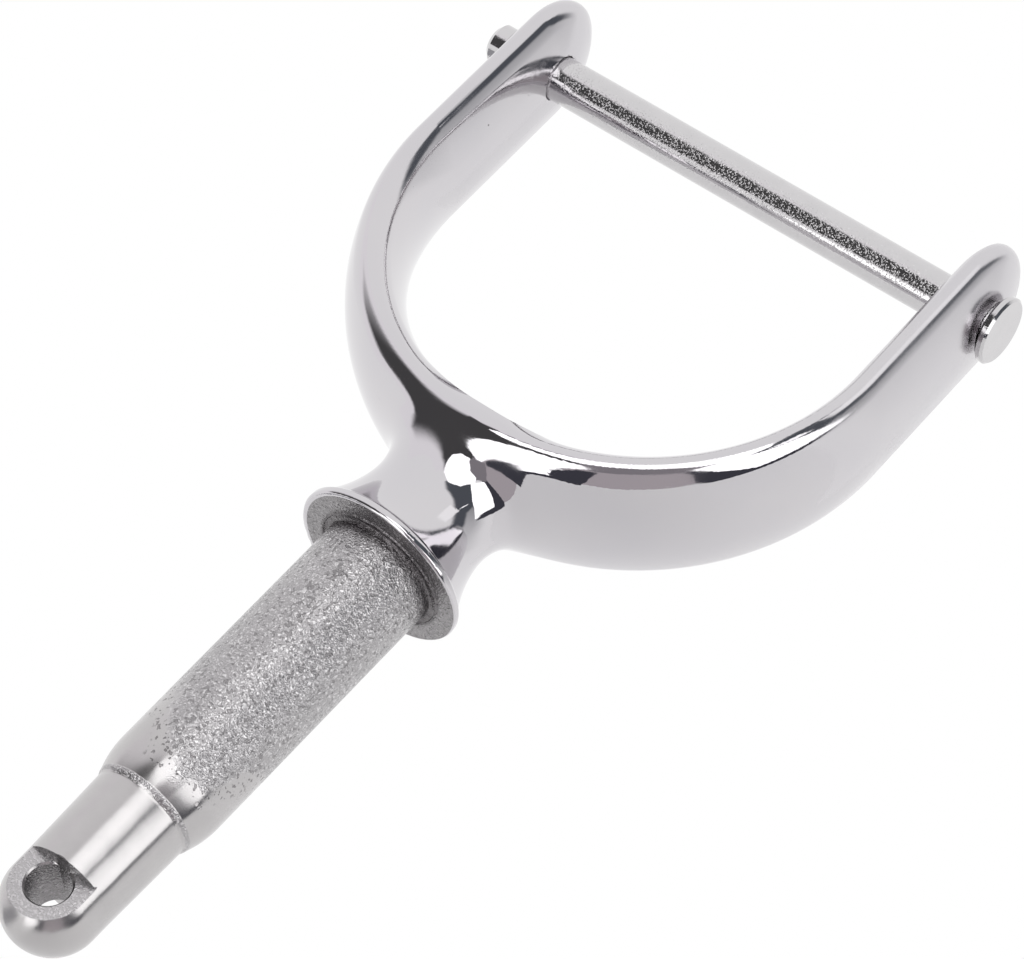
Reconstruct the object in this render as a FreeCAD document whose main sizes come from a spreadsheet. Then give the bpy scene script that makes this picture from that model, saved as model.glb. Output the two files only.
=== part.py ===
"""Rowlock with a gate pin: a cast stem and bow, and the pin that closes the bow.

Millimetres. +Z runs up the shank's axis to the bow, and +X points to the ear that the pin's head is at.
The origin is on the shank's axis, at the underside of the collar, which rests on the boat's socket.
"""
import FreeCAD, Part
import Sketcher
import math
import os

from FreeCAD import Placement, Rotation, Vector

# Driving dimensions: name, size, what it is
DRIVING = [
    ("shank_diameter", 12.7, "turns in the socket"),
    ("shank_length", 31.3, "full diameter, below the collar"),
    ("shoulder_length", 4.4, "rounds in from the shank to the tip"),
    ("seam_step", 0.3, "ledge where the shoulder meets the tip"),
    ("tip_diameter", 10.4, "turned end below the shoulder"),
    ("tip_length", 12.8, "from the ledge to the keeper hole"),
    ("tip_across_flats", 6.7, "between the two flats at the keeper hole"),
    ("flat_above_hole", 2.5, "from the keeper hole's middle up to the flats' step"),
    ("keeper_hole_diameter", 4.6, "for a split pin or a lanyard"),
    ("collar_diameter", 19.3, "flange that carries the rowlock"),
    ("collar_rim", 1.2, "height of the collar's rim"),
    ("rim_bevel", 0.3, "on the rim's upper and lower edges"),
    ("neck_diameter", 13.4, "waist between the collar and the bow"),
    ("neck_height", 7.0, "where the collar's flare ends in the waist"),
    ("spread_height", 7.6, "from the waist up to the end of the neck's spread under the bow"),
    ("spread_reach", 11.6, "half the length of that spread along the bow"),
    ("spread_depth", 7.8, "half its width across the bow"),
    ("bow_height", 15.3, "middle of the bow's lowest section"),
    ("bow_radius", 27.75, "half circle that the bow follows"),
    ("bow_thickness", 7.4, "at the lowest section"),
    ("bow_width", 17.2, "at the lowest section"),
    ("bow_edge_radius", 2.4, "at the lowest section"),
    ("ear_thickness", 5.25, "straight arms and ears"),
    ("ear_width", 14.2, "straight arms and ears"),
    ("ear_edge_radius", 1.85, "straight arms and ears"),
    ("arm_length", 17.75, "from the half circle up to the pin"),
    ("ear_rise", 0.8, "from the pin up to the middle of the ear's round end"),
    ("pin_diameter", 5.0, "gate pin"),
    ("pin_clearance", 0.05, "round the pin in each ear"),
    ("pin_tail", 3.1, "beyond the ear at the plain end"),
    ("tail_diameter", 4.5, "turned-down end of the tail"),
    ("tail_turned", 1.6, "length of the turned-down end"),
    ("tail_bevel", 0.5, "on the turned-down end"),
    ("head_diameter", 7.5, "disc at the other end"),
    ("head_thickness", 1.0, "disc at the other end"),
    ("head_bevel", 0.25, "round the disc's outer face"),
    ("head_gap", 0.45, "between the disc and the ear"),
]

SHEET = "Sizes"
SPREAD_STEPS = (0.4, 0.7, 0.9, 1.0)
BOW_STEPS = 6


class Size:
    """A length that carries both its number and the sheet's formula for it."""

    def __init__(self, value, text):
        self.value = value
        self.text = text

    @staticmethod
    def of(other):
        return other if isinstance(other, Size) else Size(float(other), repr(float(other)))

    def __add__(self, other):
        other = Size.of(other)
        return Size(self.value + other.value, f"({self.text} + {other.text})")

    def __sub__(self, other):
        other = Size.of(other)
        return Size(self.value - other.value, f"({self.text} - {other.text})")

    def __mul__(self, other):
        other = Size.of(other)
        return Size(self.value * other.value, f"({self.text} * {other.text})")

    def __truediv__(self, other):
        other = Size.of(other)
        return Size(self.value / other.value, f"({self.text} / {other.text})")

    def __neg__(self):
        return Size(-self.value, f"(-1 * {self.text})")

    def root(self):
        return Size(math.sqrt(self.value), f"sqrt({self.text})")


ZERO = Size.of(0)


def write_sheet(doc):
    """Puts the driving dimensions into the sheet and returns them by name."""
    sheet = doc.addObject("Spreadsheet::Sheet", SHEET)
    sizes = {}
    for row, (name, value, meaning) in enumerate(DRIVING, start=1):
        sheet.set(f"A{row}", name)
        sheet.set(f"B{row}", str(value))
        sheet.set(f"C{row}", meaning)
        sheet.setAlias(f"B{row}", name)
        sizes[name] = Size(value, f"{SHEET}.{name}")
    doc.recompute()
    return sizes


def bind(obj, prop, size):
    """Ties a property of an object to the sheet."""
    obj.setExpression(prop, size.text)


def placed(obj, x=ZERO, y=ZERO, z=ZERO, rotation=Rotation()):
    """Places an object at a point whose coordinates follow the sheet."""
    obj.Placement = Placement(Vector(x.value, y.value, z.value), rotation)
    for axis, size in (("x", x), ("y", y), ("z", z)):
        if size.text != ZERO.text:
            bind(obj, f"Placement.Base.{axis}", size)


def pin_coordinate(sketch, kind, edge, end, size):
    """Fixes one coordinate of an edge's end, measured from the sketch's origin."""
    origin = (-1, 1)
    first, last = (origin, (edge, end)) if size.value >= 0 else ((edge, end), origin)
    number = sketch.addConstraint(Sketcher.Constraint(kind, *first, *last, abs(size.value)))
    bind(sketch, f"Constraints[{number}]", size if size.value >= 0 else -size)


def arc_between(start, end, radius, turn):
    """Arc through two points; turn is +1 anticlockwise and -1 clockwise along the outline."""
    chord = end - start
    half = chord.Length / 2
    rise = math.sqrt(max(radius * radius - half * half, 0.0))
    side = Vector(-chord.y, chord.x, 0).normalize()
    centre = (start + end) / 2 + side * rise * turn
    first, last = (start, end) if turn > 0 else (end, start)
    angle = [math.atan2(p.y - centre.y, p.x - centre.x) for p in (first, last)]
    if angle[1] < angle[0]:
        angle[1] += 2 * math.pi
    circle = Part.Circle(centre, Vector(0, 0, 1), radius)
    return Part.ArcOfCircle(circle, angle[0], angle[1])


def outline(sketch, corners, edges):
    """Closed outline through the corners: an edge is None for a line, or (radius, turn) for an arc."""
    points = [Vector(x.value, y.value, 0) for x, y in corners]
    ends = []
    for i, edge in enumerate(edges):
        start, end = points[i], points[(i + 1) % len(points)]
        if edge is None:
            sketch.addGeometry(Part.LineSegment(start, end), False)
            ends.append((1, 2))
        else:
            radius, turn = edge
            sketch.addGeometry(arc_between(start, end, radius.value, turn), False)
            ends.append((1, 2) if turn > 0 else (2, 1))
    for i in range(len(edges)):
        after = (i + 1) % len(edges)
        sketch.addConstraint(Sketcher.Constraint("Coincident", i, ends[i][1], after, ends[after][0]))
    for i, (x, y) in enumerate(corners):
        pin_coordinate(sketch, "DistanceX", i, ends[i][0], x)
        pin_coordinate(sketch, "DistanceY", i, ends[i][0], y)
        if edges[i] is not None:
            radius = edges[i][0]
            number = sketch.addConstraint(Sketcher.Constraint("Radius", i, radius.value))
            bind(sketch, f"Constraints[{number}]", radius)


def tangent_radius(across, along):
    """Radius of the arc that leaves a line at a tangent and ends across and along from there."""
    return (across * across + along * along) / (across * 2)


def oval_parts(thickness, width, edge_radius):
    """Face radius and the point where a face's arc meets an edge's arc, in an oval of four arcs."""
    half = thickness / 2
    reach = width / 2 - edge_radius
    face_radius = (reach * reach + half * half - edge_radius * edge_radius) / (thickness - edge_radius * 2)
    inner = face_radius - edge_radius
    meet_x = half - face_radius + face_radius * (face_radius - half) / inner
    meet_y = face_radius * reach / inner
    return face_radius, meet_x, meet_y


def oval(doc, name, thickness, width, edge_radius):
    """Section of the bow: two crowned faces and two rounded edges, x through it and y across it."""
    face_radius, x, y = oval_parts(thickness, width, edge_radius)
    sketch = doc.addObject("Sketcher::SketchObject", name)
    corners = [(x, -y), (x, y), (-x, y), (-x, -y)]
    face, edge = (face_radius, 1), (edge_radius, 1)
    outline(sketch, corners, [face, edge, face, edge])
    return sketch


def half_oval(doc, name, thickness, width, edge_radius):
    """The half of a section that is turned about a line along X to round off an ear."""
    face_radius, x, y = oval_parts(thickness, width, edge_radius)
    sketch = doc.addObject("Sketcher::SketchObject", name)
    half = thickness / 2
    corners = [(half, ZERO), (x, y), (-x, y), (-half, ZERO)]
    face, edge = (face_radius, 1), (edge_radius, 1)
    outline(sketch, corners, [face, edge, face, None])
    return sketch


def make_stem(doc, sizes):
    """Tip, shoulder, shank, collar and neck: one outline turned about the shank's axis."""
    shank = sizes["shank_diameter"] / 2
    tip = sizes["tip_diameter"] / 2
    ledge = tip + sizes["seam_step"]
    collar = sizes["collar_diameter"] / 2
    neck = sizes["neck_diameter"] / 2
    seam_z = -(sizes["shank_length"] + sizes["shoulder_length"])
    ball_z = seam_z - sizes["tip_length"]
    bevel = sizes["rim_bevel"]
    rim_r = collar - bevel
    rim_z = sizes["collar_rim"]
    shoulder = tangent_radius(shank - ledge, sizes["shoulder_length"])
    flare = tangent_radius(rim_r - neck, sizes["neck_height"] - rim_z)
    corners = [
        (ZERO, ball_z - tip),
        (tip, ball_z),
        (tip, seam_z),
        (ledge, seam_z),
        (shank, -sizes["shank_length"]),
        (shank, ZERO),
        (rim_r, ZERO),
        (collar, bevel),
        (collar, rim_z - bevel),
        (rim_r, rim_z),
        (neck, sizes["neck_height"]),
        (ZERO, sizes["neck_height"]),
    ]
    below = [(tip, 1), None, None, (shoulder, 1), None, None]
    above = [None, None, None, (flare, -1), None, None]
    sketch = doc.addObject("Sketcher::SketchObject", "stem_outline")
    outline(sketch, corners, below + above)
    placed(sketch, rotation=Rotation(Vector(1, 0, 0), 90))
    stem = doc.addObject("Part::Revolution", "stem")
    stem.Source = sketch
    stem.Axis = Vector(0, 0, 1)
    stem.Angle = 360
    stem.Solid = True
    return stem, ball_z


def make_spread(doc, sizes):
    """The neck's spread up into the bow: a circle and ellipses that widen along two arcs, lofted."""
    neck = sizes["neck_diameter"] / 2
    height = sizes["spread_height"]
    along = tangent_radius(sizes["spread_reach"] - neck, height)
    across = tangent_radius(sizes["spread_depth"] - neck, height)
    waist = doc.addObject("Part::Circle", "waist")
    bind(waist, "Radius", neck)
    placed(waist, z=sizes["neck_height"])
    rings = [waist]
    for step in SPREAD_STEPS:
        rise = height * step
        ring = doc.addObject("Part::Ellipse", "spread_ring")
        bind(ring, "MajorRadius", neck + along - (along * along - rise * rise).root())
        bind(ring, "MinorRadius", neck + across - (across * across - rise * rise).root())
        placed(ring, z=sizes["neck_height"] + rise)
        rings.append(ring)
    spread = doc.addObject("Part::Loft", "neck_spread")
    spread.Sections = rings
    spread.Solid = True
    spread.Ruled = False
    return spread


def make_arm(doc, sizes):
    """One side of the bow: a quarter circle that thins out, a straight arm and a rounded ear."""
    radius = sizes["bow_radius"]
    centre_z = sizes["bow_height"] + radius
    pin_z = centre_z + sizes["arm_length"]
    ear_z = pin_z + sizes["ear_rise"]
    ear = (sizes["ear_thickness"], sizes["ear_width"], sizes["ear_edge_radius"])

    low = (sizes["bow_thickness"], sizes["bow_width"], sizes["bow_edge_radius"])
    sections = []
    for step in range(BOW_STEPS + 1):
        share = step / BOW_STEPS
        turn = 90 * share
        section = oval(doc, "bow_section", *(a * (1 - share) + b * share for a, b in zip(low, ear)))
        out = radius * math.sin(math.radians(turn))
        down = radius * math.cos(math.radians(turn))
        placed(section, x=out, z=centre_z - down, rotation=Rotation(Vector(0, 1, 0), 90 - turn))
        sections.append(section)
    quarter = doc.addObject("Part::Loft", "bow_quarter")
    quarter.Sections = sections
    quarter.Solid = True
    quarter.Ruled = False
    arm_section = sections[-1]

    arm = doc.addObject("Part::Extrusion", "straight_arm")
    arm.Base = arm_section
    arm.Dir = Vector(0, 0, 1)
    arm.Solid = True
    bind(arm, "LengthFwd", sizes["arm_length"] + sizes["ear_rise"])

    ear_section = half_oval(doc, "ear_section", *ear)
    placed(ear_section, x=radius, z=ear_z)
    ear_end = doc.addObject("Part::Revolution", "ear_end")
    ear_end.Source = ear_section
    ear_end.Axis = Vector(1, 0, 0)
    bind(ear_end, "Base.z", ear_z)
    ear_end.Angle = 180
    ear_end.Solid = True

    side = doc.addObject("Part::MultiFuse", "bow_side")
    side.Shapes = [quarter, arm, ear_end]
    return side, pin_z


def drill(doc, name, radius, reach, z, along_x):
    """A cylinder across the shank's axis, along X or Y, that reaches as far to both sides."""
    tool = doc.addObject("Part::Cylinder", name)
    bind(tool, "Radius", radius)
    bind(tool, "Height", reach * 2)
    if along_x:
        placed(tool, x=-reach, z=z, rotation=Rotation(Vector(0, 1, 0), 90))
    else:
        placed(tool, y=-reach, z=z, rotation=Rotation(Vector(1, 0, 0), -90))
    return tool


def make_flat_cutter(doc, sizes, ball_z, side):
    """A block that takes one flat off the tip, on the side that looks along +Y or -Y."""
    block = doc.addObject("Part::Box", "flat_cutter")
    depth = sizes["tip_diameter"]
    bind(block, "Length", depth * 2)
    bind(block, "Width", depth)
    bind(block, "Height", depth + sizes["flat_above_hole"])
    face = sizes["tip_across_flats"] / 2
    placed(block, x=-depth, y=face if side > 0 else -(face + depth), z=ball_z - depth)
    return block


def make_fork(doc, sizes):
    """The casting: stem, neck, bow and ears in one piece, with its holes and flats."""
    stem, ball_z = make_stem(doc, sizes)
    spread = make_spread(doc, sizes)
    side, pin_z = make_arm(doc, sizes)
    other_side = doc.addObject("Part::Mirroring", "bow_other_side")
    other_side.Source = side
    other_side.Normal = Vector(1, 0, 0)

    casting = doc.addObject("Part::MultiFuse", "casting")
    casting.Shapes = [side, other_side, spread, stem]

    pin_bore = sizes["pin_diameter"] / 2 + sizes["pin_clearance"]
    keeper_bore = sizes["keeper_hole_diameter"] / 2
    past_ears = sizes["bow_radius"] + sizes["ear_thickness"]
    cuts = doc.addObject("Part::MultiFuse", "cuts")
    cuts.Shapes = [
        drill(doc, "pin_bore", pin_bore, past_ears, pin_z, True),
        drill(doc, "keeper_bore", keeper_bore, sizes["tip_diameter"], ball_z, False),
        make_flat_cutter(doc, sizes, ball_z, 1),
        make_flat_cutter(doc, sizes, ball_z, -1),
    ]
    fork = doc.addObject("Part::Cut", "fork")
    fork.Base = casting
    fork.Tool = cuts
    return fork, pin_z


def origin_plane(body, role):
    """One of a body's own origin planes."""
    return next(f for f in body.Origin.OriginFeatures if f.Role == role)


def make_gate_pin(doc, sizes, pin_z):
    """The pin that closes the bow: a rod with a thin disc head and a plain turned-down tail."""
    ear_face = sizes["bow_radius"] + sizes["ear_thickness"] / 2
    rod = sizes["pin_diameter"] / 2
    head = sizes["head_diameter"] / 2
    under = ear_face + sizes["head_gap"]
    top = under + sizes["head_thickness"]
    bevel = sizes["head_bevel"]
    tail_end = -(ear_face + sizes["pin_tail"])
    tail_start = tail_end + sizes["tail_turned"]
    tail = sizes["tail_diameter"] / 2
    tail_bevel = sizes["tail_bevel"]
    corners = [
        (tail_end, ZERO),
        (top, ZERO),
        (top, head - bevel),
        (top - bevel, head),
        (under, head),
        (under, rod),
        (tail_start, rod),
        (tail_start, tail),
        (tail_end + tail_bevel, tail),
        (tail_end, tail - tail_bevel),
    ]
    body = doc.addObject("PartDesign::Body", "gate_pin")
    sketch = body.newObject("Sketcher::SketchObject", "gate_pin_outline")
    sketch.AttachmentSupport = [(origin_plane(body, "XZ_Plane"), "")]
    sketch.MapMode = "FlatFace"
    outline(sketch, corners, [None] * len(corners))
    turned = body.newObject("PartDesign::Revolution", "gate_pin_turned")
    turned.Profile = sketch
    turned.ReferenceAxis = (sketch, ["H_Axis"])
    turned.Angle = 360
    placed(body, z=pin_z)
    return body


def check(doc, parts):
    """Stops if an object failed, or a sub-part isn't one valid solid."""
    for obj in doc.Objects:
        if "Invalid" in obj.State or "Error" in obj.State:
            raise RuntimeError(f"{obj.Name} failed: {obj.State}")
    for part in parts:
        shape = part.Shape
        if shape.isNull() or not shape.isValid() or len(shape.Solids) != 1:
            raise RuntimeError(f"{part.Label} is not one valid solid")
        box = shape.optimalBoundingBox(False, False)
        print(f"{part.Label}: {shape.Volume:.1f} mm3, {box.XLength:.2f} x {box.YLength:.2f} x {box.ZLength:.2f} mm")


def main():
    doc = FreeCAD.newDocument("rowlock")
    sizes = write_sheet(doc)
    fork, pin_z = make_fork(doc, sizes)
    gate_pin = make_gate_pin(doc, sizes, pin_z)
    doc.recompute()
    parts = [fork, gate_pin]
    check(doc, parts)
    os.makedirs("parts", exist_ok=True)
    for part in parts:
        part.Shape.exportStep(f"parts/{part.Label}.step")


main()
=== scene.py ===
"""A polished rowlock with a gate pin, as it looks, on a plain white ground.

Lengths inside the shape functions are millimetres in the object's own frame: the origin is the middle of
the collar's underside, Z goes up from the shank into the bow, and X points to the ear at the pin's head.
"""
import math

import bpy
import numpy as np
from mathutils import Matrix


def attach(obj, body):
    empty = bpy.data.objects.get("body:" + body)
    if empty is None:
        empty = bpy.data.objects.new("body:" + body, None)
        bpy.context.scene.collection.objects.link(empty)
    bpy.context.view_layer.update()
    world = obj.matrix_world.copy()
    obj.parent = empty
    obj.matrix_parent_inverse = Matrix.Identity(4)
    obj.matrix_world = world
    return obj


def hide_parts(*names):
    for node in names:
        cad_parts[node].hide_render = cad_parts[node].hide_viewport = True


MM = 0.001

# Pairs are the bow's sizes at its lowest point and on its arms. Shoulder and face are angles in radians.
BOW = {
    "radius": 27.73, "centre": 43.01, "ear": 60.9,
    "half_width": (9.03, 7.8), "half_thick": (3.75, 2.68), "tip": (1.26, 1.05),
    "shoulder": (0.561, 0.838), "face": (1.162, 1.227), "outer_tip": (1.26, 1.42),
}
STEM = {
    "neck": 6.94, "waist": 9.17, "top": 15.3, "off": -0.27, "bow_blend": 6.45,
    "rim": 9.68, "rim_high": 0.95, "rim_round": 0.35, "flare_in": 0.3, "rim_blend": 0.4,
}
PIN = {
    "z": 60.8, "hole": 2.56, "hole_bevel": 0.18, "bar": 2.5, "sides": 96,
    "tail": 2.25, "tail_end": -33.9, "tail_bevel": 0.5, "step": (-31.9, -31.6),
    "head": 3.75, "head_from": 30.85, "head_end": 31.85, "head_bevel": 0.25,
}
SHANK = {
    "radius": 6.35, "top": 0.4,
    "shoulder": -31.3, "shoulder_long": 4.6, "shoulder_drop": 0.93, "shoulder_bend": 2.2,
    "seam": -35.45, "seam_in": 0.9, "seam_round": 0.17, "seam_blend": 0.15,
    "under": 9.3, "under_z": 0.2, "under_half": 0.23, "under_blend": 0.6,
    "bead": 7.2, "bead_z": -0.03, "bead_round": 0.13, "bead_blend": 0.06,
    "tip": 5.2, "tip_wide": 0.2, "tip_long": 10.0, "tip_top": -2.0, "tip_blend": 0.25,
    "ball": -48.5, "flat": 3.35, "step": -46.3, "hole": 2.3, "hole_bevel": 0.22,
}
CASTING_BOX = (-33, -10, -0.5), (33, 10, 70)
SHANK_BOX = (-9.7, -9.7, -54.5), (9.7, 9.7, 1)

RIGHT = np.array([0.780962, 0.039511, 0.623327])
DOWN = np.array([0.482167, 0.596225, -0.641896])
AHEAD = np.array([-0.397006, 0.801845, 0.446578])
EYE = np.array([204.145, -404.969, -209.159])
LENS = 178.145


def smooth_min(a, b, k):
    """The smaller of two distances, with a cubic fillet of reach k where they are near each other."""
    h = np.maximum(k - np.abs(a - b), 0.0) / k
    return np.minimum(a, b) - h * h * h * k / 6.0


def lens_section(v, w, half_width, half_thick, tip, shoulder, face):
    """Distance from an eight-arc lens: a tip arc on each narrow edge, a crowned arc on each broad face and
    a shoulder arc between them, each meeting the next at the same slope. v goes through the thickness and
    w along the width."""
    v, w = np.abs(v), np.abs(w)
    c1, s1, c2, s2 = np.cos(shoulder), np.sin(shoulder), np.cos(face), np.sin(face)
    m1, m2 = half_width - tip * (1 - c1), half_thick - tip * s1
    p, q, r, s = c1 - c2, c2, s2 - s1, 1 - s2
    det = p * s - q * r
    shoulder_round, face_round = (m1 * s - q * m2) / det, (p * m2 - r * m1) / det
    tip_w = half_width - tip
    mid_w, mid_v = tip_w - (shoulder_round - tip) * c1, -(shoulder_round - tip) * s1
    near_tip = v * c1 - (w - tip_w) * s1 < 0
    near_mid = (v - mid_v) * c2 - (w - mid_w) * s2 < 0
    on_face = np.hypot(w, v - half_thick + face_round) - face_round
    on_mid = np.hypot(w - mid_w, v - mid_v) - shoulder_round
    on_tip = np.hypot(w - tip_w, v) - tip
    return np.where(near_tip, on_tip, np.where(near_mid, on_mid, on_face))


def bow_field(x, y, z):
    """Distance from the bow: the lens carried round a half circle and up two straight arms, its sizes going
    evenly from the bottom to the arms with the angle, and turned about the pin's line to end each ear."""
    low = z - BOW["centre"]
    turn = np.clip(np.arctan2(np.abs(x), np.maximum(-low, 1e-9)) / (math.pi / 2), 0.0, 1.0)
    names = ("half_width", "half_thick", "tip", "outer_tip", "shoulder", "face")
    sizes = [BOW[k][0] + (BOW[k][1] - BOW[k][0]) * turn for k in names]
    width, thick, tip, outer_tip, shoulder, face = sizes
    out = np.where(low < 0, np.hypot(x, low), np.abs(x)) - BOW["radius"]
    across = np.hypot(y, np.maximum(z - BOW["ear"], 0.0))
    return lens_section(out, across, width, thick, np.where(out > 0, outer_tip, tip), shoulder, face)


def stem_field(x, y, z):
    """Distance from the collar's rounded rim disc with a hollow arc of flare rising into a round neck."""
    s = STEM
    r = np.hypot(x - s["off"], y)
    rim_half = s["rim_high"] / 2
    dx, dz = r - (s["rim"] - s["rim_round"]), np.abs(z - rim_half) - (rim_half - s["rim_round"])
    disc = np.hypot(np.maximum(dx, 0), np.maximum(dz, 0)) + np.minimum(np.maximum(dx, dz), 0) - s["rim_round"]
    wide, high = s["rim"] - s["flare_in"] - s["neck"], s["waist"] - s["rim_high"]
    hollow = (wide * wide + high * high) / (2 * wide)
    centre = s["neck"] + hollow
    low = hollow - np.hypot(np.minimum(r - centre, 0), z - s["waist"]) + np.maximum(r - centre, 0)
    flare = np.where(z < s["waist"], low, r - s["neck"])
    flare = np.maximum(np.maximum(flare, s["rim_high"] - z), z - s["top"])
    return smooth_min(disc, flare, s["rim_blend"])


def bevelled_cut(solid, cut, bevel):
    """solid with cut taken away, and the edge between them bevelled."""
    return np.maximum(np.maximum(solid, -cut), (solid - cut) * math.sqrt(0.5) + bevel * math.sqrt(0.5))


def casting_field(x, y, z):
    """Distance from the bow and the stem flowing together, drilled through both ears."""
    whole = smooth_min(bow_field(x, y, z), stem_field(x, y, z), STEM["bow_blend"])
    drill = np.hypot(y, z - PIN["z"]) - PIN["hole"]
    return bevelled_cut(whole, drill, PIN["hole_bevel"])


def shank_field(x, y, z):
    """Distance from the collar's rough underside with a small bead, the shank with its rounded shoulder and
    thin cast seam, and the ball-ended tip with two flats and a cross hole."""
    s = SHANK
    r = np.hypot(x, y)
    down = np.clip((s["shoulder"] - z) / s["shoulder_long"], 0.0, 1.0)
    side = r - s["radius"] + s["shoulder_drop"] * down ** s["shoulder_bend"]
    shank = np.maximum(side, s["shoulder"] - s["shoulder_long"] - z)
    seam = np.hypot(r - s["radius"] + s["seam_in"], z - s["seam"]) - s["seam_round"]
    under = np.maximum(r - s["under"], np.abs(z - s["under_z"]) - s["under_half"])
    bead = np.hypot(r - s["bead"], z - s["bead_z"]) - s["bead_round"]
    body = smooth_min(shank, seam, s["seam_blend"])
    body = smooth_min(body, under, s["under_blend"])
    body = smooth_min(body, bead, s["bead_blend"])
    body = np.maximum(body, z - s["top"])
    wide = s["tip"] + s["tip_wide"] * np.clip((z - s["step"]) / s["tip_long"], 0.0, 1.0)
    tip = np.hypot(r, np.minimum(z - s["ball"], 0)) - wide
    upper = np.maximum(tip, s["step"] - z)
    drill = np.hypot(x, z - s["ball"]) - s["hole"]
    lower = bevelled_cut(np.maximum(tip, np.abs(y) - s["flat"]), drill, s["hole_bevel"])
    tip = np.maximum(np.minimum(lower, upper), z - s["tip_top"])
    return smooth_min(body, tip, s["tip_blend"])


def slopes(field, p, step=0.004):
    """The unit direction in which a field grows, from central differences over a small step."""
    x, y, z = p.T
    g = np.stack([
        field(x + step, y, z) - field(x - step, y, z),
        field(x, y + step, z) - field(x, y - step, z),
        field(x, y, z + step) - field(x, y, z - step),
    ], 1)
    return g / np.maximum(np.linalg.norm(g, axis=1, keepdims=True), 1e-12)


def crossings(field, value, axes, axis, cell, tries=6):
    """The grid edges along one axis that the surface crosses: each edge's start on the grid, the point where
    the field is nought, closed in on by straight lines between two ends of opposite sign, and whether the
    edge leaves the inside."""
    a = [slice(None)] * 3
    b = [slice(None)] * 3
    a[axis], b[axis] = slice(None, -1), slice(1, None)
    inside = value < 0
    crossing = np.argwhere(inside[tuple(a)] != inside[tuple(b)])
    far = crossing.copy()
    far[:, axis] += 1
    start, end = value[tuple(crossing.T)], value[tuple(far.T)]
    share = start / (start - end)
    base = np.stack([axes[i][crossing[:, i]] for i in range(3)], 1)
    lo, hi = np.zeros(len(base)), np.ones(len(base))
    for _ in range(tries):
        p = base.copy()
        p[:, axis] += share * cell
        v = field(*p.T)
        same = (v < 0) == (start < 0)
        lo, start = np.where(same, share, lo), np.where(same, v, start)
        hi, end = np.where(same, hi, share), np.where(same, end, v)
        share = np.clip(lo + (hi - lo) * start / np.where(start == end, 1, start - end), 0, 1)
    p = base.copy()
    p[:, axis] += share * cell
    return crossing, p, inside[tuple(crossing.T)]


def skin(field, low, high, cell, hold=0.02):
    """Vertices and quads of the surface where field is zero. Every grid edge that crosses it gives a tangent
    plane, and each grid cell's vertex is the point nearest to all of its planes, so that edges stay crisp.
    A light hold draws it to the middle of its crossings, and it stays in its cell."""
    count = [int(math.ceil((b - a) / cell)) + 1 for a, b in zip(low, high)]
    axes = [a + cell * np.arange(n) for a, n in zip(low, count)]
    value = field(*np.meshgrid(*axes, indexing="ij"))
    stride = np.array([(count[1] - 1) * (count[2] - 1), count[2] - 1, 1])
    cells, planes, quads = [], [], []
    for axis in range(3):
        crossing, p, leaving = crossings(field, value, axes, axis, cell)
        n = slopes(field, p)
        u, w = (axis + 1) % 3, (axis + 2) % 3
        ring = []
        for du, dw in ((-1, -1), (0, -1), (0, 0), (-1, 0)):
            c = crossing.copy()
            c[:, u] += du
            c[:, w] += dw
            ring.append(c @ stride)
            cells.append(ring[-1])
            planes.append(np.concatenate([p, n], 1))
        ring = np.stack(ring, 1)
        quads.append(np.where(leaving[:, None], ring, ring[:, ::-1]))
    cells, planes, quads = np.concatenate(cells), np.concatenate(planes), np.concatenate(quads)
    used, slot = np.unique(cells, return_inverse=True)
    total = np.bincount(slot)
    middle = np.stack([np.bincount(slot, planes[:, i]) for i in range(3)], 1) / total[:, None]
    n = planes[:, 3:]
    offset = np.sum(n * (planes[:, :3] - middle[slot]), 1)
    matrix = np.empty((len(used), 3, 3))
    for i in range(3):
        for j in range(3):
            matrix[:, i, j] = np.bincount(slot, n[:, i] * n[:, j])
    matrix += np.eye(3) * hold
    right = np.stack([np.bincount(slot, n[:, i] * offset) for i in range(3)], 1)
    vertex = middle + np.linalg.solve(matrix, right[..., None])[..., 0]
    place = np.stack([used // stride[0], used % stride[0] // stride[1], used % stride[1]], 1)
    corner = np.array(low) + place * cell
    vertex = np.clip(vertex, corner, corner + cell)
    return vertex, np.searchsorted(used, quads)


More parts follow.
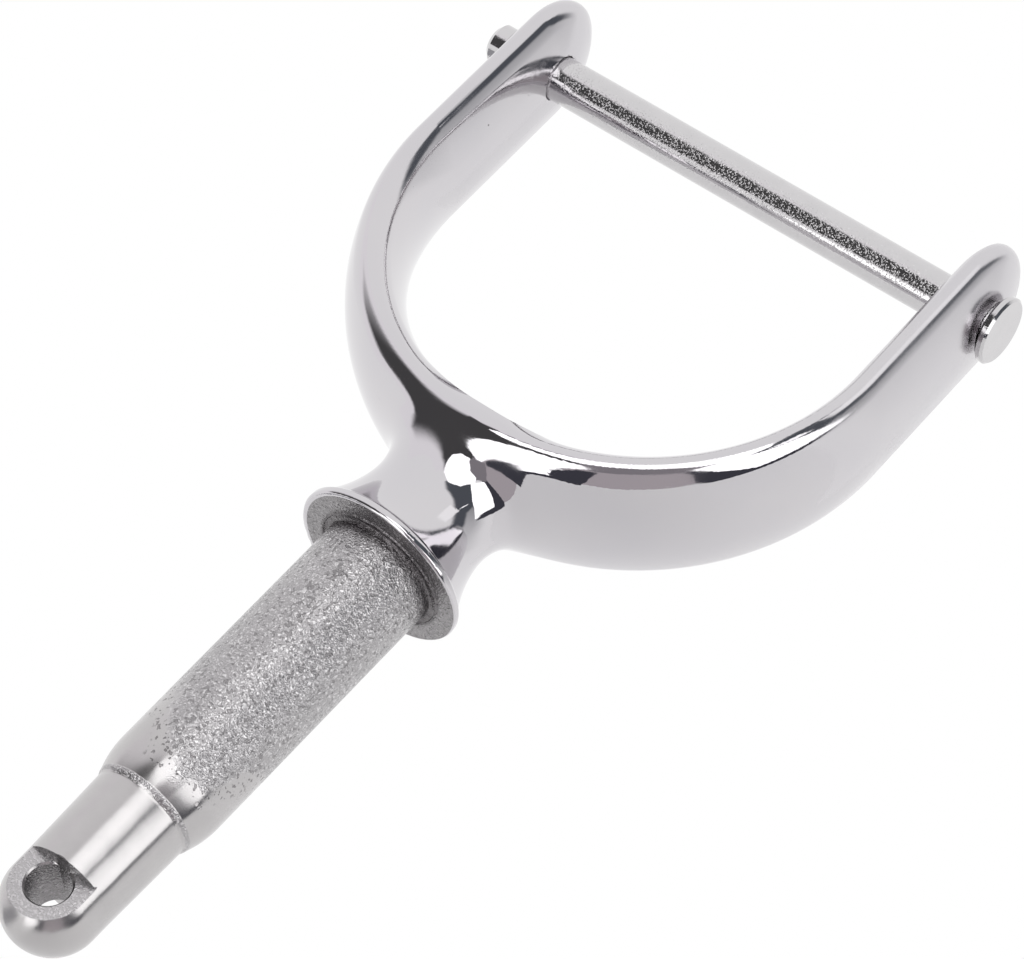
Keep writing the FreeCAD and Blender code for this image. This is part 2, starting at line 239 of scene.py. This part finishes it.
def turned(profile, sides, crisp=35.0):
    """Vertices, faces and corner directions of a profile of (along, radius) pairs turned about the X axis and
    closed at both ends. Where the profile bends by more than crisp degrees its edge is sharp, and elsewhere
    it is smooth."""
    line = np.array(profile, dtype=float)
    run = np.diff(line, axis=0)
    out = np.stack([-run[:, 1], run[:, 0]], 1) / np.linalg.norm(run, axis=1, keepdims=True)
    before, after = out.copy(), out.copy()
    bend = np.degrees(np.arccos(np.clip(np.sum(out[:-1] * out[1:], 1), -1, 1)))
    mean = out[:-1] + out[1:]
    mean /= np.maximum(np.linalg.norm(mean, axis=1, keepdims=True), 1e-9)
    soft = bend < crisp
    after[:-1][soft] = mean[soft]
    before[1:][soft] = mean[soft]
    angle = np.arange(sides) * 2 * math.pi / sides
    turn = np.stack([np.cos(angle), np.sin(angle)], 1)
    ring = line[1:-1]
    rows = len(ring)
    along = np.repeat(ring[:, 0], sides)[:, None]
    points = np.concatenate([along, (ring[:, None, 1:] * turn).reshape(-1, 2)], 1)
    vertex = np.concatenate([[[line[0, 0], 0, 0]], points, [[line[-1, 0], 0, 0]]])
    j = np.arange(sides)
    k = (j + 1) % sides
    faces, directions = [], []
    for i in range(len(run)):
        lo, hi = 1 + (i - 1) * sides, 1 + i * sides
        first, last = before[i], after[i]
        if i == 0:
            corners = [np.zeros(sides, int), 1 + k, 1 + j]
            ends, spin = [first, last, last], [j, k, j]
        elif i == rows:
            corners = [lo + j, lo + k, np.full(sides, 1 + rows * sides)]
            ends, spin = [first, first, last], [j, k, j]
        else:
            corners = [lo + j, lo + k, hi + k, hi + j]
            ends, spin = [first, first, last, last], [j, k, k, j]
        faces += np.stack(corners, 1).tolist()
        given = []
        for end, where in zip(ends, spin):
            given.append(np.concatenate([np.full((sides, 1), end[0]), turn[where] * end[1]], 1))
        directions.append(np.stack(given, 1).reshape(-1, 3))
    return vertex, faces, np.concatenate(directions)


def pin_profile():
    """The pin's (along, radius) pairs: a bevelled tail, a short cone up to the bar, and a disc head with both
    of its edges bevelled."""
    p = PIN
    tail_bevel, head_bevel = p["tail_bevel"], p["head_bevel"]
    return [
        (p["tail_end"], 0),
        (p["tail_end"], p["tail"] - tail_bevel),
        (p["tail_end"] + tail_bevel, p["tail"]),
        (p["step"][0], p["tail"]),
        (p["step"][1], p["bar"]),
        (p["head_from"], p["bar"]),
        (p["head_from"], p["head"] - head_bevel),
        (p["head_from"] + head_bevel, p["head"]),
        (p["head_end"] - head_bevel, p["head"]),
        (p["head_end"], p["head"] - head_bevel),
        (p["head_end"], 0),
    ]


def piece(name, vertex, faces, material, corner_normals=None):
    """A smooth mesh object from millimetre vertices, with given directions at the face corners where there
    are any."""
    mesh = bpy.data.meshes.new(name)
    vertex = np.asarray(vertex, dtype=np.float64) * MM
    if isinstance(faces, np.ndarray):
        mesh.vertices.add(len(vertex))
        mesh.vertices.foreach_set("co", vertex.ravel())
        mesh.loops.add(faces.size)
        mesh.loops.foreach_set("vertex_index", faces.ravel().astype(np.int32))
        mesh.polygons.add(len(faces))
        mesh.polygons.foreach_set("loop_start", np.arange(0, faces.size, faces.shape[1], dtype=np.int32))
        mesh.update(calc_edges=True)
    else:
        mesh.from_pydata(vertex.tolist(), [], faces)
    mesh.validate()
    mesh.polygons.foreach_set("use_smooth", np.ones(len(mesh.polygons), dtype=bool))
    if corner_normals is not None:
        mesh.normals_split_custom_set(corner_normals)
    mesh.materials.append(material)
    made = bpy.data.objects.new(name, mesh)
    bpy.context.scene.collection.objects.link(made)
    return made


def solid_piece(name, field, box, cell, material, inward=0.2):
    """A piece from a field, whose face corners take the field's own directions a little inward on each
    face."""
    vertex, quads = skin(field, *box, cell)
    corner = vertex[quads]
    inner = corner * (1 - inward) + corner.mean(1, keepdims=True) * inward
    return piece(name, vertex, quads, material, slopes(field, inner.reshape(-1, 3)))


def grain_along(made):
    """Gives each point its length along the bow, its place across and its place through, for the polish
    lines to follow."""
    mesh = made.data
    co = np.empty(len(mesh.vertices) * 3)
    mesh.vertices.foreach_get("co", co)
    x, y, z = co.reshape(-1, 3).T / MM
    low = z - BOW["centre"]
    turn = np.arctan2(x, np.maximum(-low, 1e-6))
    along = turn * BOW["radius"] + np.sign(x) * np.maximum(low, 0)
    through = np.where(low < 0, np.hypot(x, low), np.abs(x))
    grain = mesh.attributes.new("grain", "FLOAT_VECTOR", "POINT")
    grain.data.foreach_set("vector", np.stack([along, y, through], 1).astype(np.float32).ravel())


def add(tree, kind, settings=None, **inputs):
    """A shader node. An input given as a socket is linked and any other is set, and _0 or _1 is an input by
    its number."""
    made = tree.nodes.new("ShaderNode" + kind)
    for key, value in (settings or {}).items():
        setattr(made, key, value)
    for key, value in inputs.items():
        socket = made.inputs[int(key[1:]) if key[0] == "_" else key.replace("_", " ")]
        if isinstance(value, bpy.types.NodeSocket):
            tree.links.new(value, socket)
        else:
            socket.default_value = value
    return made


def calc(tree, operation, *values):
    """The result of one sum on up to three numbers or sockets."""
    numbered = {f"_{i}": value for i, value in enumerate(values)}
    return add(tree, "Math", {"operation": operation}, **numbered).outputs[0]


def times(tree, a, b):
    """One value times another."""
    return calc(tree, "MULTIPLY", a, b)


def most(tree, first, *others):
    """The largest of several values."""
    for value in others:
        first = calc(tree, "MAXIMUM", first, value)
    return first


def length(tree, a, b):
    """The root of the sum of two squares."""
    return calc(tree, "SQRT", calc(tree, "ADD", times(tree, a, a), times(tree, b, b)))


def stretch(tree, vector, factors):
    """A vector times another, part by part."""
    return add(tree, "VectorMath", {"operation": "MULTIPLY"}, _0=vector, _1=factors).outputs[0]


def ramp(tree, value, start, end, low=0.0, high=1.0):
    """A smooth step from low at start to high at end."""
    kind = {"interpolation_type": "SMOOTHSTEP"}
    made = add(tree, "MapRange", kind, Value=value, From_Min=start, From_Max=end, To_Min=low, To_Max=high)
    return made.outputs[0]


def noise(tree, where, scale, detail=2.0, roughness=0.5, distortion=0.0):
    """Smooth noise from nought to one, with scale waves to the millimetre."""
    wanted = {"Scale": scale, "Detail": detail, "Roughness": roughness, "Distortion": distortion}
    return add(tree, "TexNoise", Vector=where, **wanted).outputs["Fac"]


def tint(tree, share, first, second):
    """A colour between two colours."""
    made = add(tree, "Mix", {"data_type": "RGBA"}, _0=share)
    for socket, colour in ((made.inputs[6], first), (made.inputs[7], second)):
        if isinstance(colour, bpy.types.NodeSocket):
            tree.links.new(colour, socket)
        else:
            socket.default_value = (*colour, 1.0)
    return made.outputs[2]


def bump(tree, height, millimetres, before=None):
    """The surface direction after a height pattern of that many millimetres."""
    made = add(tree, "Bump", Strength=1.0, Distance=millimetres * MM, Height=height)
    if before is not None:
        tree.links.new(before, made.inputs["Normal"])
    return made.outputs[0]


def metal(name):
    """A bare metal material: its node tree, its shader, and its place in millimetres as a vector and as x, y
    and z."""
    material = bpy.data.materials.new(name)
    material.use_nodes = True
    tree = material.node_tree
    shader = tree.nodes["Principled BSDF"]
    shader.inputs["Metallic"].default_value = 1.0
    where = add(tree, "TexCoord").outputs["Object"]
    where = add(tree, "VectorMath", {"operation": "SCALE"}, _0=where, Scale=1 / MM).outputs[0]
    return material, tree, shader, where, add(tree, "SeparateXYZ", _0=where).outputs


def wire(tree, shader, colour, roughness, normal):
    """Joins what a metal's patterns give to its shader."""
    tree.links.new(colour, shader.inputs["Base Color"])
    tree.links.new(roughness, shader.inputs["Roughness"])
    tree.links.new(normal, shader.inputs["Normal"])


def pinholes_in(tree, where):
    """One where a casting pinhole is, in about one cell in seven of a coarse pattern of cells."""
    cells = add(tree, "TexVoronoi", {"feature": "F1"}, Vector=where, Scale=0.32)
    drawn = add(tree, "SeparateColor", _0=cells.outputs["Color"]).outputs[0]
    chosen = calc(tree, "GREATER_THAN", drawn, 0.86)
    return times(tree, ramp(tree, cells.outputs["Distance"], 0.045, 0.015), chosen)


def polished_metal():
    """Hand-polished casting: slow waves, fine lines along the bow in patches, and a few pinholes with shade
    painted inside them. The arms are a little duller than the rest, and the right one more than the left."""
    material, tree, shader, where, (x, y, z) = metal("polished_casting")
    darker, lighter, pinhole_shade = (0.6, 0.585, 0.615), (0.655, 0.635, 0.65), (0.2, 0.19, 0.19)
    grain = add(tree, "Attribute", {"attribute_name": "grain"}).outputs["Vector"]
    lines = noise(tree, stretch(tree, grain, (0.35, 7.0, 7.0)), 1.0, 3.0, 0.6)
    patches = ramp(tree, noise(tree, where, 0.16, 3.0), 0.42, 0.68)
    waves = noise(tree, where, 0.13, 1.0)
    pinholes = pinholes_in(tree, where)
    normal = bump(tree, waves, 0.03)
    normal = bump(tree, times(tree, lines, calc(tree, "ADD", patches, 0.25)), 0.0024, normal)
    normal = bump(tree, calc(tree, "SUBTRACT", 1.0, pinholes), 0.08, normal)
    colour = tint(tree, noise(tree, where, 0.09, 2.0), darker, lighter)
    # Painted shade inside the pinholes.
    colour = tint(tree, pinholes, colour, pinhole_shade)
    on_arms = ramp(tree, z, 32.0, 44.0)
    to_right = ramp(tree, x, -10.0, 10.0, 0.04, 0.19)
    rough = ramp(tree, patches, 0.0, 1.0, 0.03, 0.085)
    rough = calc(tree, "ADD", rough, times(tree, on_arms, to_right))
    wire(tree, shader, colour, rough, normal)
    return material


def worn_line(tree, x, y, z, radius, uneven):
    """Height above the uneven line where the cast skin wears off into polish. The line is lowest on the side
    that is in view."""
    front = calc(tree, "SUBTRACT", times(tree, x, 0.451), times(tree, y, 0.893))
    front = most(tree, calc(tree, "DIVIDE", front, most(tree, radius, 1.0)), 0.0)
    line = calc(tree, "MULTIPLY_ADD", calc(tree, "POWER", front, 3.0), -8.5, -25.0)
    return calc(tree, "ADD", calc(tree, "SUBTRACT", z, line), calc(tree, "MULTIPLY_ADD", uneven, 7.0, -3.5))


def cut_places(tree, x, y, z, flat_reach=0.03, hole_reach=0.04, hole_top=-45.0):
    """Ones on the two flats at the tip, and ones in the cross hole, each with a small reach past its edge."""
    past_flat = calc(tree, "GREATER_THAN", calc(tree, "ABSOLUTE", y), SHANK["flat"] - flat_reach)
    flat = times(tree, past_flat, calc(tree, "LESS_THAN", z, SHANK["step"] + flat_reach))
    around = length(tree, x, calc(tree, "ADD", z, -SHANK["ball"]))
    in_hole = calc(tree, "LESS_THAN", around, SHANK["hole"] + hole_reach)
    return flat, times(tree, in_hole, calc(tree, "LESS_THAN", z, hole_top))


def cast_metal():
    """Cast skin with worm-like wrinkles on the shank and under the collar, worn off into polish at the
    shoulder and tip, with a pitted seam, rough flats and a bore. Shade is painted into the wrinkles'
    crevices, the pits and the bore, under the collar and round the shank's root."""
    material, tree, shader, where, (x, y, z) = metal("cast_skin")
    worn_dark, worn_light, bare = (0.49, 0.475, 0.48), (0.56, 0.545, 0.545), (0.69, 0.675, 0.685)
    # These two colours are painted shade: the first for the crevices and pits, the second under the collar,
    # at the root and in the bore.
    crevice_and_pit_shade, shaded = (0.15, 0.14, 0.145), (0.12, 0.11, 0.115)
    uneven = noise(tree, where, 0.3, 3.0, 0.6)
    radius = length(tree, x, y)
    above = worn_line(tree, x, y, z, radius, uneven)
    flat, bore = cut_places(tree, x, y, z)
    from_seam = calc(tree, "ABSOLUTE", calc(tree, "SUBTRACT", z, SHANK["seam"] - 0.05))
    seam = ramp(tree, from_seam, 0.34, 0.18)
    raw = most(tree, ramp(tree, above, -0.8, 1.2), seam, flat, bore)
    pits = times(tree, ramp(tree, noise(tree, where, 2.3, 1.0), 0.4, 0.34), ramp(tree, above, -4.5, -1.5))
    pits = times(tree, pits, calc(tree, "GREATER_THAN", z, -33.5))

    worms = calc(tree, "MULTIPLY_ADD", noise(tree, where, 2.8, 1.0, 0.5, 0.5), 2.0, -1.0)
    grains = noise(tree, where, 4.5, 2.0, 0.6)
    height = calc(tree, "ADD", calc(tree, "ABSOLUTE", worms), times(tree, grains, 0.3))
    rugged = times(tree, raw, calc(tree, "MULTIPLY_ADD", flat, -0.55, 1.0))
    wrinkles = times(tree, noise(tree, where, 0.85, 2.0), ramp(tree, z, -18.0, -2.0))
    normal = bump(tree, noise(tree, where, 0.2, 1.0), 0.03)
    normal = bump(tree, noise(tree, where, 0.5, 1.0), 0.015, normal)
    normal = bump(tree, wrinkles, 0.11, normal)
    normal = bump(tree, times(tree, height, rugged), 0.085, normal)
    normal = bump(tree, calc(tree, "SUBTRACT", 1.0, pits), 0.1, normal)

    colour = tint(tree, uneven, worn_dark, worn_light)
    colour = tint(tree, raw, colour, bare)
    # Painted shade: the wrinkles' crevices and the pits are darkened towards a near-black colour.
    hollow = times(tree, ramp(tree, height, 0.62, 0.2), rugged)
    hollow = most(tree, times(tree, hollow, 0.52), times(tree, pits, 0.7))
    colour = tint(tree, hollow, colour, crevice_and_pit_shade)
    # Painted shadow under the collar and round the shank's root where it meets the collar, and painted shade
    # in the bore; the flats are also a little darker in tone.
    under_collar = ramp(tree, z, -1.2, -0.35)
    root = times(tree, ramp(tree, z, -1.9, -0.5), ramp(tree, radius, 8.4, 7.0))
    painted_shade_and_flat_tone = most(tree, times(tree, under_collar, 0.55), root, times(tree, bore, 0.75), times(tree, flat, 0.22))
    colour = tint(tree, times(tree, painted_shade_and_flat_tone, 0.85), colour, shaded)

    upright = add(tree, "CombineXYZ", _0=0.0, _1=0.0, _2=1.0).outputs[0]
    tree.links.new(upright, shader.inputs["Tangent"])
    tree.links.new(ramp(tree, raw, 0.0, 0.5, 0.8, 0.6), shader.inputs["Anisotropic"])
    wire(tree, shader, colour, ramp(tree, raw, 0.0, 1.0, 0.22, 0.25), normal)
    return material


def pin_metal():
    """Drawn rod: a speckle of fine pits between the ears, smoother at its tail and head, with faint long
    lines."""
    material, tree, shader, where, (x, y, z) = metal("pin_steel")
    darker, lighter = (0.6, 0.59, 0.6), (0.66, 0.645, 0.655)
    between_ears = times(tree, ramp(tree, x, -23.9, -22.9), ramp(tree, x, 30.6, 30.2))
    pitted = times(tree, between_ears, ramp(tree, z, 58.5, 58.95))
    speckle = ramp(tree, noise(tree, where, 5.2, 1.0, 0.6), 0.52, 0.74)
    height = times(tree, speckle, calc(tree, "MULTIPLY_ADD", pitted, 0.85, 0.15))
    lines = noise(tree, stretch(tree, where, (0.15, 5.0, 5.0)), 1.0, 2.0)
    normal = bump(tree, lines, 0.002)
    normal = bump(tree, height, 0.022, normal)
    colour = tint(tree, noise(tree, where, 0.5, 3.0), darker, lighter)
    rough = ramp(tree, noise(tree, where, 0.9, 2.0), 0.3, 0.7, 0.03, 0.06)
    wire(tree, shader, colour, rough, normal)
    return material


def card_material():
    """Light or dark card, with the light and tint of its own points."""
    material = bpy.data.materials.new("studio_card")
    material.use_nodes = True
    tree = material.node_tree
    tree.nodes.clear()
    level = tree.nodes.new("ShaderNodeAttribute")
    level.attribute_name = "light"
    glow = tree.nodes.new("ShaderNodeEmission")
    out = tree.nodes.new("ShaderNodeOutputMaterial")
    tree.links.new(level.outputs["Color"], glow.inputs["Color"])
    tree.links.new(glow.outputs[0], out.inputs["Surface"])
    return material


def seen(turn, rise):
    """Directions from the object, turned and raised in degrees from straight back to the camera."""
    turn, rise = np.radians(turn)[:, None], np.radians(rise)[:, None]
    return np.cos(rise) * np.sin(turn) * RIGHT - np.sin(rise) * DOWN - np.cos(rise) * np.cos(turn) * AHEAD


def hang(name, turn, rise, faces, light, distance, material, middle=(0.0, 0.0, 12.0)):
    """Puts a card's mesh at its directions and distance from a middle, with its light on its points."""
    made = piece(name, np.array(middle) + seen(turn, rise) * distance, faces, material)
    colour = made.data.attributes.new("light", "FLOAT_COLOR", "POINT")
    light = np.concatenate([light, np.ones((len(light), 1))], 1)
    colour.data.foreach_set("color", light.astype(np.float32).ravel())
    made.visible_camera = False
    made.visible_shadow = False


def card(name, light, distance, material, *outline):
    """An even card whose corners are (turn, rise) directions."""
    turn, rise = np.array(outline, dtype=float).T
    hang(name, turn, rise, [list(range(len(turn)))], np.tile(light, (len(turn), 1)), distance, material)


def arm_card(name, light, distances, heights, material, *outline):
    """An even card beside the right arm from one height to another, between two (turn, rise) directions, each
    at its own distance."""
    turn, rise = np.repeat(outline, 2, axis=0).astype(float).T
    low, high = heights
    beside = [(BOW["radius"], -6.0, z) for z in (low, high, high, low)]
    distances = np.repeat(distances, 2)[:, None]
    hang(name, turn, rise, [[0, 1, 2, 3]], np.tile(light, (4, 1)), distances, material, beside)


def shaded_card(name, turns, rises, light, distance, material, step=1.5):
    """A curved card over a grid of directions whose light is light(turn, rise)."""
    turn, rise = np.meshgrid(np.arange(*turns, step), np.arange(*rises, step), indexing="ij")
    i, j = np.meshgrid(np.arange(turn.shape[0] - 1), np.arange(turn.shape[1] - 1), indexing="ij")
    k = (i * turn.shape[1] + j).ravel()
    faces = np.stack([k, k + turn.shape[1], k + turn.shape[1] + 1, k + 1], 1)
    turn, rise = turn.ravel(), rise.ravel()
    hang(name, turn, rise, faces, light(turn, rise), distance, material)


def blend(value, start, end):
    """A smooth step from nought at start to one at end."""
    t = np.clip((value - start) / (end - start), 0, 1)
    return t * t * (3 - 2 * t)


def dark_side(turn, rise):
    """Near black below an upper edge that is soft on the left and crisp on the right, and soft at its left
    end."""
    darkest, cast = 0.075, np.array([1.0, 0.98, 1.0])
    top = np.interp(turn, (-118, -100, -80, -56, -30, -6), (20, 30, 35, 41, 48, 49))
    soft = np.interp(turn, (-118, -80, -56, -30, -6), (20, 14, 9, 4, 2))
    foot = np.interp(turn, (-118, -108, -98, -85, -24), (18, 9, 4, 1, -1))
    left = np.interp(rise, (0, 20, 40), (-100, -110, -104))
    light = np.maximum(blend(rise, top - soft, top + soft), blend(foot - rise, -2, 2))
    light = np.maximum(light, blend(left - turn, -7, 5))
    return (darkest + (1 - darkest) * light)[:, None] * cast


def blue_side(turn, rise):
    """Dark blue between two falling edges, light above it, and a grey below it that lightens to the right."""
    darkest, cast = 0.11, np.array([-0.01, 0.0, 0.018])
    top = np.interp(turn, (26, 42, 50, 58, 72, 88, 101, 118), (47, 43, 34, 28, 21.5, 18.5, 16.5, 14))
    foot = np.interp(turn, (26, 55, 60, 70, 86, 101, 118), (-20, -6, 0, 6, 5, 8, 9))
    below = np.interp(turn, (45, 58, 80, 110, 140), (0.2, 0.36, 0.56, 0.8, 1.0))
    below = below + (1 - below) * blend(foot - rise, 10, 34)
    core = np.maximum(darkest + (1 - darkest) * blend(turn, 94, 126), below * blend(foot - rise, -3, 3))
    light = core + (1 - core) * blend(rise - top, -3, 3)
    return light[:, None] + (1 - light)[:, None] * cast


def studio():
    """White all round, a large near-black side on the left and a dark blue one on the right, white panels
    round the camera with dark and grey between them, and two small white strips beside the right arm."""
    scene = bpy.context.scene
    world = bpy.data.worlds.new("white_studio")
    world.use_nodes = True
    world.node_tree.nodes["Background"].inputs["Color"].default_value = (1, 1, 1, 1)
    world.node_tree.nodes["Background"].inputs["Strength"].default_value = 1.0
    scene.world = world
    scene.view_settings.view_transform = "Standard"
    m = card_material()
    white, soft_white, half_white = (2, 2, 2), (1.6, 1.6, 1.6), (1.2, 1.2, 1.2)
    black, dark_grey = (0.06, 0.06, 0.075), (0.28, 0.26, 0.28)
    warm_grey, cool_grey = (0.5, 0.46, 0.48), (0.4, 0.4, 0.42)
    shaded_card("dark_side", (-120, 2), (-3, 62), dark_side, 1900, m)
    shaded_card("blue_side", (26, 141), (-34, 50), blue_side, 900, m)
    card("grey_below", warm_grey, 600, m,
         (-24, -12), (-10, -8), (8, -8), (18, -18), (32, -50), (10, -58), (-15, -58), (-34, -50))
    card("dark_below_left", black, 450, m,
         (-46, -46), (-30, -26), (-18, -14), (-12, -16), (-22, -42), (-34, -56))
    card("dark_below_right", black, 450, m,
         (10, -8), (18, -6), (50, -28), (80, -10), (68, -32), (52, -46), (40, -52), (30, -50), (18, -24))
    card("grey_middle", dark_grey, 420, m,
         (-14, -14), (16, -14), (20, 4), (8, 12), (-8, 12), (-16, 2))
    card("white_top", white, 300, m,
         (-20, 34), (-19, 20), (-12, 8), (-8, 11), (8, 12), (16, 3),
         (26, 4), (31, 22), (27, 42), (14, 46), (0, 48), (-12, 44))
    card("white_right", white, 200, m,
         (28, 10), (60, -4), (77, -9), (74, -13), (69, -15), (53, -33), (44, -30), (32, -24), (18, -10))
    card("white_left", white, 300, m,
         (-38, 14), (-26, 10), (-14, -1), (-13, -8), (-24, -17),
         (-31, -28), (-38, -42), (-60, -38), (-60, -30), (-44, -14))
    card("white_left_high", white, 300, m,
         (-66, -17), (-58, -22), (-44, -14), (-40, -3), (-44, 0), (-54, -3), (-62, -9))
    arm_card("white_beside_arm", half_white, (45, 45), (26, 62), m, (42, 47), (57, 25))
    arm_card("white_beside_curve", soft_white, (25, 60), (26, 34), m, (29, 23), (43, 8))
    card("grey_left", cool_grey, 300, m,
         (-65, -24), (-95, -29), (-128, -26), (-110, -14), (-80, -12))


def floor():
    """A wide pale floor, well below the object as the photograph has it."""
    material = bpy.data.materials.new("pale_floor")
    material.use_nodes = True
    shader = material.node_tree.nodes["Principled BSDF"]
    shader.inputs["Base Color"].default_value = (0.97, 0.97, 0.97, 1.0)
    shader.inputs["Roughness"].default_value = 0.9
    side, depth = 6000.0, 1500.0
    middle = DOWN * depth
    vertex = [middle + RIGHT * i * side + AHEAD * j * side for i, j in ((-1, -1), (1, -1), (1, 1), (-1, 1))]
    made = piece("pale_floor", np.array(vertex), [[0, 3, 2, 1]], material)
    made.visible_camera = False


def camera():
    """The photograph's viewing angle."""
    data = bpy.data.cameras.new("camera")
    data.sensor_fit = "HORIZONTAL"
    data.sensor_width = 36.0
    data.lens = LENS
    data.clip_start = 0.01
    data.clip_end = 20.0
    made = bpy.data.objects.new("camera", data)
    turn = Matrix([[RIGHT[i], -DOWN[i], -AHEAD[i]] for i in range(3)]).to_4x4()
    made.matrix_world = Matrix.Translation(EYE * MM) @ turn
    bpy.context.scene.collection.objects.link(made)
    bpy.context.scene.camera = made


def casting():
    """The polished bow with its neck and collar, and the cast shank with its tip."""
    cell = 0.33
    polished, rough = polished_metal(), cast_metal()
    bow = solid_piece("bow_and_collar", casting_field, CASTING_BOX, cell, polished)
    shank = solid_piece("shank_and_tip", shank_field, SHANK_BOX, cell * 0.75, rough)
    grain_along(bow)
    for made in (bow, shank):
        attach(made, "fork")
        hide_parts("fork")


def gate_pin():
    """The headed rod through both ears."""
    vertex, faces, directions = turned(pin_profile(), PIN["sides"])
    vertex = vertex + np.array([0, 0, PIN["z"]])
    pin = piece("gate_pin_rod", vertex, faces, pin_metal(), directions)
    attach(pin, "gate_pin")
    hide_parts("gate_pin")


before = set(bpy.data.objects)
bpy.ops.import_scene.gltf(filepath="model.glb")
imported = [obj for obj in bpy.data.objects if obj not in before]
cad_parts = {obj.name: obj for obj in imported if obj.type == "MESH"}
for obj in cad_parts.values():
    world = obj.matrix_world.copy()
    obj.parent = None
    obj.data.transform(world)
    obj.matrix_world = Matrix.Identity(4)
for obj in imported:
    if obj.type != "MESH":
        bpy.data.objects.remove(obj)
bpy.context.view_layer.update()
studio()
floor()
camera()
casting()
gate_pin()
